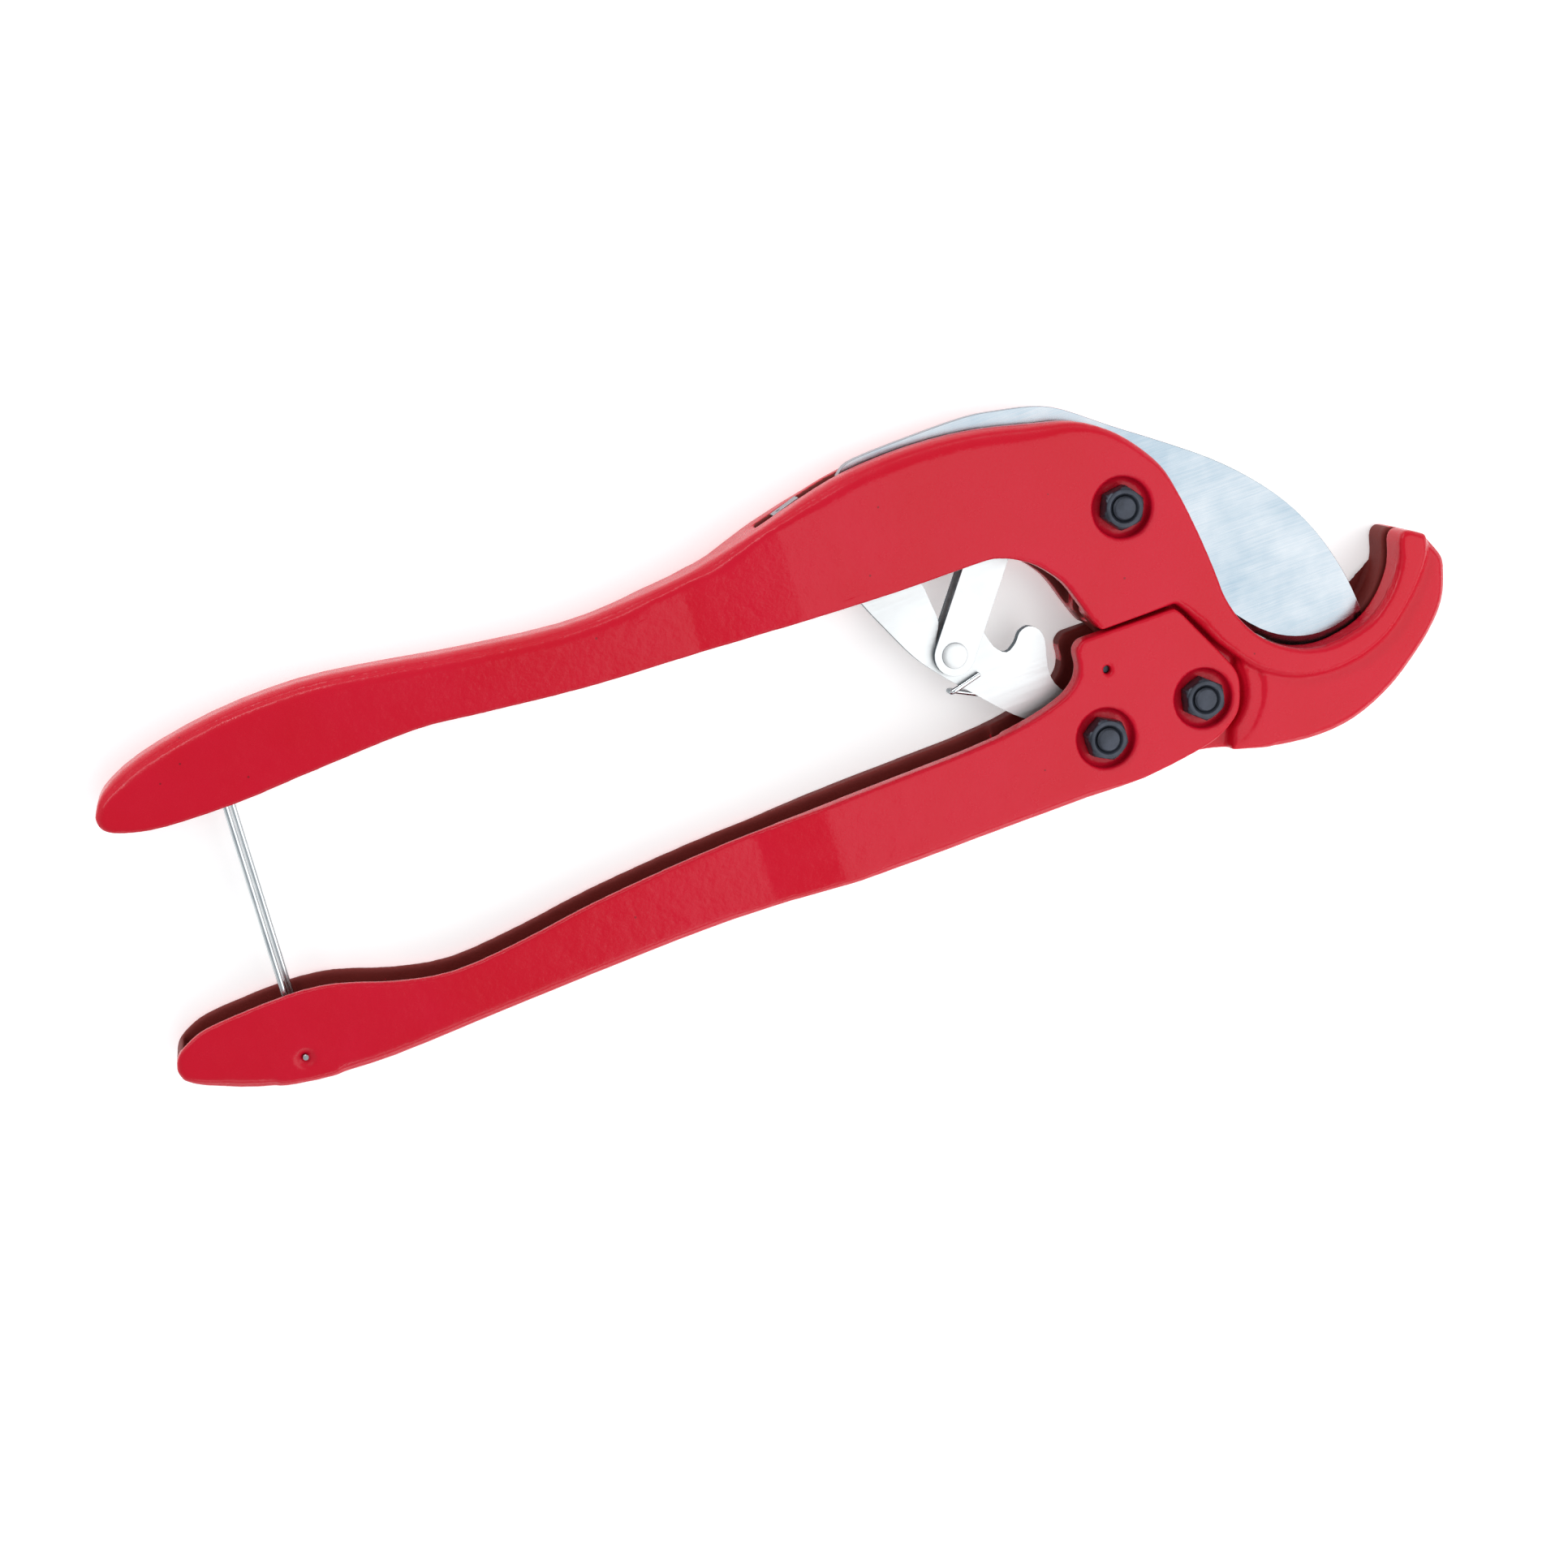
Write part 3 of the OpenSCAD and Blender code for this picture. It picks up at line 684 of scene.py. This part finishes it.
def centre_and_turn(node):
    """The axis of a hexagonal CAD node, the angle of one of its corners, and its distance across flats."""
    low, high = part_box(node)
    centre = (Vector(low) + Vector(high)) / 2
    corner = max((v.co - centre for v in frame["nodes"][node].data.vertices), key=lambda d: d.to_2d().length)
    return centre, math.atan2(corner.y, corner.x), corner.to_2d().length * 2 * math.cos(math.pi / 6)


print("corners of the three nuts point to",
      [round(math.degrees(centre_and_turn(joint + "_nut")[1])) for joint in ("blade", "handle", "ratchet")])

# %% [markdown]
# ## Nuts and bolts
# The three large joints are black bolts through the castings, each closed by a hexagon nut in a round
# recess. The corners are cut back to a cone, and the end of the bolt is chamfered just above the nut. The
# widths of the profiles are shares of half the width across flats, so that one list serves every size. The
# thread is hidden in the nut and is left out.

# %% Nuts and bolts
bolt_r = 4.0 * MM
clear = 0.06 * MM                # between the bolt and the nut's bore
at_corner, at_shoulder, at_rim, at_face = 1.2, 1.06, 0.97, 0.93   # widths down the chamfer, as shares
head_face, dish_rim, dish = 0.9, 0.62, 0.55                       # and on the face of a bolt's head
head_high = 3.5 * MM
for joint in ("blade", "handle", "ratchet"):
    nut, bolt = joint + "_nut", joint + "_bolt"
    axis, turn, flats = centre_and_turn(nut)
    low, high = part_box(nut)
    z0, z1 = low[2], high[2]
    cone = flats / 2
    bore = bolt_r + clear
    mesh = lathe(nut + "_turned", axis, [
        (bore, z0), (cone, z0), (cone * at_corner, z0 + 0.9 * MM), (cone * at_corner, z1 - 1.5 * MM),
        (cone * at_shoulder, z1 - 0.75 * MM), (cone * at_rim, z1 - 0.12 * MM), (cone * at_face, z1),
        (bore + 0.95 * MM, z1), (bore + 0.8 * MM, z1 - 0.08 * MM), (bore, z1 - 0.85 * MM),
    ], flats, turn)
    place_piece(mesh, nut + "_turned", nut)
    low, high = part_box(bolt)
    z0, z1 = low[2], high[2]
    head_top = z0 + head_high
    mesh = lathe(bolt + "_turned", axis, [
        (0, z0 + 0.35 * MM), (cone * dish, z0 + 0.35 * MM), (cone * dish_rim, z0), (cone * head_face, z0),
        (cone * at_rim, z0 + 0.12 * MM), (cone * at_corner, z0 + 1.3 * MM), (cone * at_corner, head_top),
        (bolt_r, head_top), (bolt_r, z1 - 0.75 * MM), (bolt_r - 0.5 * MM, z1 - 0.12 * MM),
        (bolt_r - 0.8 * MM, z1), (0, z1),
    ], flats, turn)
    place_piece(mesh, bolt + "_turned", bolt)
print("nuts are", round(flats / MM, 1), "mm across flats")

# %% [markdown]
# ## Rivets
# The two pins that carry the link arms are closed by peening: the end is hammered into a low round button.
# Both ends look alike, so one half profile is written down and mirrored.

# %% Rivets
button_high = 0.7 * MM
button = [(0, 0), (0.62, 0.03), (0.86, 0.16), (0.97, 0.38)]   # (share of the button's radius, mm down)
for node, shank in (("tail_pin_rivet", 3.0 * MM), ("notch_pin_rivet", 2.0 * MM)):
    low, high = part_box(node)
    axis, head = (Vector(low) + Vector(high)) / 2, (high[0] - low[0]) / 2
    z0, z1 = low[2], high[2]
    side = [(head * share, down * MM) for share, down in button] + [(head, button_high)]
    profile = [(r, z0 + d) for r, d in side] + [(shank, z0 + button_high), (shank, z1 - button_high)]
    profile += [(r, z1 - d) for r, d in reversed(side)]
    place_piece(lathe(node + "_peened", axis, profile), node + "_peened", node)
    print(node, "buttons are", round(2 * head / MM, 1), "mm wide")


# %% [markdown]
# ## Bent wires
# The latch loop and the ratchet spring are each one length of drawn wire, bent round pins. A wire keeps its
# round section through a bend, so its centre line is filleted first and a circle is swept along it.

# %% Swept wire
def filleted(points, bend, steps=6):
    """The corners of a path rounded to a bend radius."""
    path = [points[0]]
    for before, corner, after in zip(points, points[1:], points[2:]):
        into, out = (before - corner).normalized(), (after - corner).normalized()
        half = into.angle(out) / 2
        if half > math.radians(88):
            path.append(corner)
            continue
        reach = min(bend / math.tan(half), *((end - corner).length * 0.48 for end in (before, after)))
        a, b = corner + into * reach, corner + out * reach
        path += [a.lerp(corner, t).lerp(corner.lerp(b, t), t) for t in [k / steps for k in range(steps + 1)]]
    return path + [points[-1]]


def wire(name, path, radius, sides=20):
    """A round wire along a path, with softly cut ends."""
    path = [p for k, p in enumerate(path) if k == 0 or (p - path[k - 1]).length > 0.01 * MM]
    normal = Vector((0, 0, 1)) if abs((path[1] - path[0]).normalized().z) < 0.9 else Vector((1, 0, 0))
    verts, faces = [], []
    for k, point in enumerate(path):
        ahead = (path[min(k + 1, len(path) - 1)] - path[max(k - 1, 0)]).normalized()
        normal = (normal - ahead * normal.dot(ahead)).normalized()
        other = ahead.cross(normal)
        size = radius * (0.85 if k in (0, len(path) - 1) else 1.0)
        for s in range(sides):
            angle = math.tau * s / sides
            verts.append(point + (normal * math.cos(angle) + other * math.sin(angle)) * size)
    for k in range(len(path) - 1):
        for s in range(sides):
            a, b = k * sides + s, k * sides + (s + 1) % sides
            faces.append((a, b, b + sides, a + sides))
    faces += [list(range(sides))[::-1], list(range(len(verts) - sides, len(verts)))]
    mesh = bpy.data.meshes.new(name)
    mesh.from_pydata(verts, [], faces)
    shade(mesh, 40)
    return mesh


def with_cut_ends(path, cut):
    """Adds a point a little way in from each end, where the wire reaches its full size."""
    start = path[0] + (path[1] - path[0]).normalized() * cut
    end = path[-1] + (path[-2] - path[-1]).normalized() * cut
    return [path[0], start] + path[1:-1] + [end, path[-1]]


square_corner = [Vector((0, 0, 0)), Vector((1, 0, 0)), Vector((1, 1, 0))]
print("a bent corner has", len(filleted(square_corner, 0.2)), "points in place of", len(square_corner))

# %% [markdown]
# ## Latch loop
# The latch is one bent wire. Its two ends turn outwards into holes in the lower handle, and its closed end
# goes over a hook inside the upper handle to keep the tool shut. The legs stand slightly askew, as bent wire
# does, so that both show.

# %% Latch loop
wire_r = 1.0 * MM
wire_bend = 1.8 * MM
soft_end = 0.15 * MM             # length of the softly cut end
leg_gap = 5.0 * MM               # from the middle plane to each leg
wire_end = 10.2 * MM             # and to each end, inside its hole
askew, askew_from = 0.8, 7       # how far each leg stands aside, in mm, and how far up it starts
loop_high = 101                  # from the hinge to the closed end, in mm
latch = pivots["latch_hinge"]
lean = math.radians(86.6)
along = Vector((math.cos(lean), math.sin(lean), 0)) * MM
aside = Vector((-math.sin(lean), math.cos(lean), 0)) * askew * MM
corners = []
for side in (1, -1):
    foot = latch + Vector((0, 0, side * leg_gap))
    leg = [latch + Vector((0, 0, side * wire_end)), foot, foot + along * askew_from + aside * side,
           foot + along * loop_high + aside * side]
    corners += leg if side == 1 else leg[::-1]
path = with_cut_ends(filleted(corners, wire_bend), soft_end)
place_piece(wire("latch_bail_wire", path, wire_r), "latch_bail_wire", "latch_bail")
print("latch wire length in mm", round(sum((b - a).length for a, b in zip(path, path[1:])) / MM))

# %% [markdown]
# ## Ratchet spring
# A torsion spring lies round the ratchet pivot. One leg rests inside the lower handle, and the other is
# hooked over the edge of the ratchet plate. Each leg leaves the coil on a tangent, because wound wire can't
# turn a corner there, so the coil's first and last angles are worked out from where the legs end.

# %% Ratchet spring
spring_wire_r = 0.9 * MM
coil_r = 8.0 * MM
hook_bend = 1.4 * MM
low_z, leg_z, hook_z = 9.2, 11.35, 16.6   # heights of the lower leg, the upper leg and the hook, in mm
plate_edge = from_blade(-70.3, -41.8, leg_z)
hook_corner, hook_tip = from_blade(-70.3, -41.8, hook_z), from_blade(-59.5, -39, hook_z)
tail_end = from_blade(-26.5, -55, low_z)


def touch_angle(point, side):
    """Angle on the coil where a straight leg from a point runs into it."""
    away = (point - ratchet_pivot).to_2d()
    return math.atan2(away.y, away.x) + side * math.acos(coil_r / away.length)


start, stop = touch_angle(tail_end, 1), touch_angle(plate_edge, -1) + 2 * math.tau
turns = 60
coil = []
for k in range(turns + 1):
    angle = start + (stop - start) * k / turns
    height = low_z * MM + (leg_z - low_z) * MM * k / turns
    coil.append(Vector((ratchet_pivot.x + coil_r * math.cos(angle),
                        ratchet_pivot.y + coil_r * math.sin(angle), height)))
hook = filleted([coil[-1], plate_edge, hook_corner, hook_tip], hook_bend)
path = with_cut_ends([tail_end] + coil[:-1] + hook, soft_end)
place_piece(wire("ratchet_spring_wire", path, spring_wire_r), "ratchet_spring_wire", "ratchet_spring")
print("spring turns", round((stop - start) / math.tau, 2))
